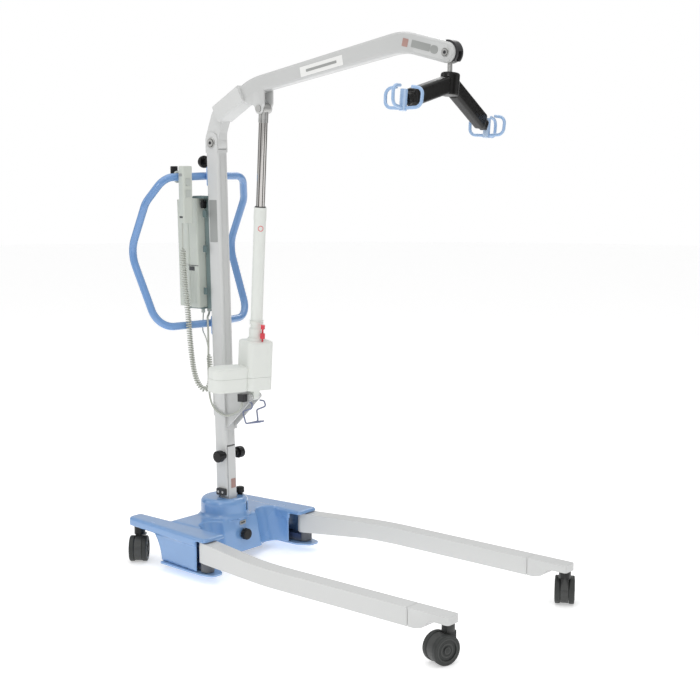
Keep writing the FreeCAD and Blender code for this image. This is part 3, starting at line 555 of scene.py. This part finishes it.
def bolt_face(label, body, centre, head, socket, ledge, inner, outer, thickness):
    """A bolt's near end: a black six-sided disc on its head, painted shade for the socket's hollow, and a
    collar on the ledge round it.
    """
    socket_shade_profile = [(socket, 0), (socket - socket_taper, socket_depth)]
    # The socket is drawn as a raised black hexagon: painted shade where the hollow is.
    lathe(label + "_socket", body, centre - Vector((0, head, 0)), near, socket_shade_profile, "black_plastic", 6)
    washer(label + "_collar", body, centre - Vector((0, ledge, 0)), near, inner, outer, thickness, "plated")


# Blank plates where the lift carries its markings. The boom's lie along its two straight runs.
front_run = at(818.5, 0, 216.9) - at(681.0, 0, 251.3)
rear_run = at(681.0, 0, 251.3) - at(157.9, 0, 155.4)
for name, spot, run, width, height, finish, corner in (
        ("boom_plate_brand", (383.5, -20.02, 1411.5), rear_run, 0.150, 0.026, "label_white", plate_corner),
        ("boom_plate_strip", (383.5, -20.44, 1411.5), rear_run, 0.108, 0.007, "label", plate_corner),
        ("boom_plate_square", (662, -20.02, 1459), front_run, 0.018, 0.020, "label_red", plate_corner),
        ("boom_plate_long", (711, -20.02, 1449), front_run, 0.060, 0.018, "label", plate_corner),
        ("boom_plate_round", (752, -20.02, 1438), front_run, 0.024, 0.020, "label", 0.009)):
    plate(name, "boom", at(*spot), run, near, width, height, skin, finish, corner)
plate("mast_plate", "mast", at(-27, -21.02, 992), along_mast, near, 0.030, 0.120, skin, "label")

# The plates that face forward lie on whichever surface shows there.
bpy.context.view_layer.update()
mast_foot_shapes = [nodes["mast_tube"], nodes["mast_post"]]
plate_on("mast_plate_low", mast_foot_shapes, at(200, 3, 226), 0.018, 0.028, "label_red")
plate_on("base_plate", [cover], at(200, 6, 113), 0.026, 0.012, "label")
plate_on("base_plate_line", [cover], at(200, 6, 113), 0.018, 0.004, "label_dark", skin)

# The bolt ends at the boom's tip and at its pivot on the mast.
tip = Vector(joints["hanger_swing"]["pos_m"])
knuckle = Vector(joints["boom_lift"]["pos_m"])
bolt_face("tip_bolt", "boom", tip, 0.0235, 0.0048, 0.0202, 0.0088, 0.0112, 0.0022)
bolt_face("knuckle", "mast", knuckle, 0.0262, 0.0052, 0.0212, 0.0108, 0.0150, 0.0020)

# Round the actuator's tube: a ring mark, a band above the housing, and the wiper where the rod comes out.
lower_pin = at(106.3, 0, 495.9)
upper_pin = Vector(joints["rod_swing"]["pos_m"])
rod_axis = (upper_pin - lower_pin).normalized()
rolled_ring("tube_mark", "housing", lower_pin + rod_axis * 0.482, rod_axis, to_camera, tube_radius, 0.0062,
            0.0078, "release_red")
for name, height, inner, outer, thickness, finish in (
        ("tube_band", 0.210, 0.0171, 0.0196, 0.010, "case_white"),
        ("rod_wiper", 0.5398, 0.0128, 0.0160, 0.003, "black_plastic")):
    washer(name, "housing", lower_pin + rod_axis * height, rod_axis, inner, outer, thickness, finish)

# A painted weld band where each leg's stepped end joins the tube.
for side, label in ((1, "left"), (-1, "right")):
    plate("leg_weld_" + label, "leg_" + label, at(877.5, 261 * side, 91), sideways, (1, 0, 0), 0.0456, 0.0486,
          0.005, "coat_grey", 0.0081)

# Twin wheels: a raised rim ring, an inner ring and a hub cap on each outer face.
# Each ring's name, how far it is sunk in the face, its inner and outer radius, and its thickness.
rings_on_wheel = (
    ("rim", 0.0004, 0.0262, 0.0282, 0.0010),
    ("ring", 0.0030, 0.0140, 0.0175, 0.0016),
)
hub_profile = [(0.0086, 0), (0.0082, 0.0008), (0.0050, 0.0014), (0.0012, 0.0016)]
for corner in ("front_right", "front_left", "rear_right", "rear_left"):
    body = "wheels_" + corner
    roll = joints[body + "_roll"]
    axle = Vector(roll["axis"])
    for side, label in ((1, "a"), (-1, "b")):
        out = axle * side
        face = Vector(roll["pos_m"]) + out * wheel_face
        ending = "_%s_%s" % (corner, label)
        for name, sunk, inner, outer, thickness in rings_on_wheel:
            washer(name + ending, body, face - out * sunk, out, inner, outer, thickness, "wheel_grey")
        lathe("hub_cap" + ending, body, face - out * skin, out, hub_profile, "wheel_grey", 32)

# Control unit: dark top clip and latch, cable guides along the rail, a seam, cooling ribs and a vent.
block("box_top_clip", "mast", (-92, -40, 1056.2), (-48, -8, 1063), "bracket_teal")
block("box_latch", "mast", (-66.8, -34, 1028), (-58, -18, 1050), "black_plastic")
for number, height in enumerate((1002, 902, 780)):
    block("rail_guide_%d" % number, "mast", (-58, -35, height), (-44, -30.1, height + 20), "bracket_teal")
block("box_seam", "mast", (-109, -44.6, 862), (-68, -44.05, 864), "label_dark", 0.2)
for number in range(6):
    left = -104 + 6 * number
    block("box_rib_%d" % number, "mast", (left, -45.0, 752), (left + 2.5, -44.05, 846), "box_grey", 0.4)
block("box_vent", "mast", (-106, -44.5, 848), (-84, -44.05, 860), "label_dark", 0.2)

# Handset: the clip that holds it on the handle, and two blank marks on its face.
block("handset_clip", "mast", (-106, -112, 1122), (-97.2, -90, 1148), "black_plastic", 2.0)
plate("handset_mark", "mast", at(-56, -119.02, 1124), (1, 0, 0), near, 0.012, 0.008, skin, "label")
plate("handset_mark_low", "mast", at(-56, -119.02, 1006), (1, 0, 0), near, 0.013, 0.005, skin, "label_dark")


# ---- cords ----

def spline_route(name, points):
    """The smooth line through the route's control points, as a curve with no thickness."""
    data = bpy.data.curves.new(name, "CURVE")
    data.dimensions = "3D"
    data.resolution_u = 16
    spline = data.splines.new("NURBS")
    spline.points.add(len(points) - 1)
    for control, point in zip(spline.points, points):
        control.co = (*point, 1.0)
    spline.order_u = 3
    spline.use_endpoint_u = True
    return data


def line_of(route):
    """Points along the middle of a route."""
    bare = bpy.data.objects.new("bare", route)
    mesh = bpy.data.meshes.new_from_object(bare)
    line = [vertex.co.copy() for vertex in mesh.vertices]
    bpy.data.meshes.remove(mesh)
    bpy.data.objects.remove(bare)
    return line


def lengths_along(line):
    """The distance of each point from the start, measured along the line."""
    total, along = 0.0, [0.0]
    for before, after in zip(line, line[1:]):
        total += (after - before).length
        along.append(total)
    return along


def even_line(line, count):
    """The same line with its points evenly spaced."""
    along = lengths_along(line)
    points, index = [], 0
    for step in range(count + 1):
        wanted = along[-1] * step / count
        while index < len(line) - 2 and along[index + 1] < wanted:
            index += 1
        share = (wanted - along[index]) / max(along[index + 1] - along[index], 1e-9)
        points.append(line[index].lerp(line[index + 1], min(max(share, 0.0), 1.0)))
    return points


def directions_along(line):
    """At each point, the line's direction and one square to it that turns as little as it can."""
    side, pairs = Vector((1, 0, 0)), []
    for index in range(len(line)):
        ahead = (line[min(index + 1, len(line) - 1)] - line[max(index - 1, 0)]).normalized()
        side = (side - ahead * side.dot(ahead)).normalized()
        pairs.append((ahead, side.copy()))
    return pairs


def off_line(point, ahead, side, reach, turn):
    """A point at a distance from the line, at an angle round it."""
    return point + reach * (math.cos(turn) * side + math.sin(turn) * ahead.cross(side))


def tube_mesh(name, line, radius, steps):
    """A round tube along the line, with closed ends."""
    mesh = bmesh.new()
    rings = []
    for point, (ahead, side) in zip(line, directions_along(line)):
        rings.append([mesh.verts.new(off_line(point, ahead, side, radius, turn)) for turn in turns(steps)])
    for before, after in zip(rings, rings[1:]):
        bridge(mesh, before, after)
    cap(mesh, rings[0], rings[-1])
    obj = made(name, mesh)
    shade_smooth(obj.data)
    return obj


def curly_line(points, start, end):
    """The handset cord's middle line: a plain lead, the helix between two points of the route, and a lead."""
    route = even_line(line_of(spline_route("handset_route", points)), coil_route_steps)
    along = lengths_along(route)
    first = min(range(len(route)), key=lambda i: (route[i] - start).length)
    last = min(range(len(route)), key=lambda i: (route[i] - end).length)
    line = []
    for index, (point, (ahead, side)) in enumerate(zip(route, directions_along(route))):
        inward = min(along[index] - along[first], along[last] - along[index])
        reach = coil_radius * min(max(inward / coil_fade, 0.0), 1.0)
        turn = 2 * math.pi * (along[index] - along[first]) / coil_pitch
        line.append(off_line(point, ahead, side, reach, turn))
    return line


# The control points of both routes are those of the CAD model. The handset's cord leaves the handset's foot
# and ends in the control box.
coil_start, coil_end = at(-62, -110, 920), at(-20, -55, 615)
coil_points = [at(-60, -111, 989), at(-61, -111, 955), coil_start, at(-62, -106, 826), at(-59, -97, 740),
               at(-54, -95, 650), at(-48, -94, 598), at(-38, -94, 554), at(-25, -89, 522), at(-11, -76, 508),
               at(-4, -64, 532), at(-11, -58, 574), coil_end, at(-26, -52, 636), at(-40, -44, 654),
               at(-58, -34, 664), at(-76, -24, 672), at(-85, -14, 690), mast_at(-65, -10, 725)]
curly = curly_line(coil_points, coil_start, coil_end)
handset_cord = tube_mesh("handset_cord", curly, coil_wire / 2, 8)
dress(handset_cord, "cord_grey")
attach(handset_cord, "mast")
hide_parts("handset_coil", "handset_leads")

# The motor's cable runs down the mast from the control box and up to its plug under the housing.
motor_points = [mast_at(-56, 6, 728), at(-78, 5, 719), at(-74, -4, 713), at(-64, -15, 712), at(-51, -27, 708),
                at(-46, -31, 686), at(-47, -29, 640), at(-49, -29, 590), at(-49, -29, 535), at(-46, -30, 484),
                at(-32, -30, 452), at(-4, -30, 436), at(26, -29, 431), at(52, -28, 442), at(74, -30, 452),
                at(88, -33, 466), at(91, -33, 483.2)]
motor_route = spline_route("motor_cable_run", motor_points)
motor_route.bevel_depth = motor_cable_radius
motor_route.bevel_resolution = 3
motor_route.use_fill_caps = True
motor_run = added("motor_cable_run", motor_route)
dress(motor_run, "cord_grey")
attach(motor_run, "mast")
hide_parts("motor_cable")
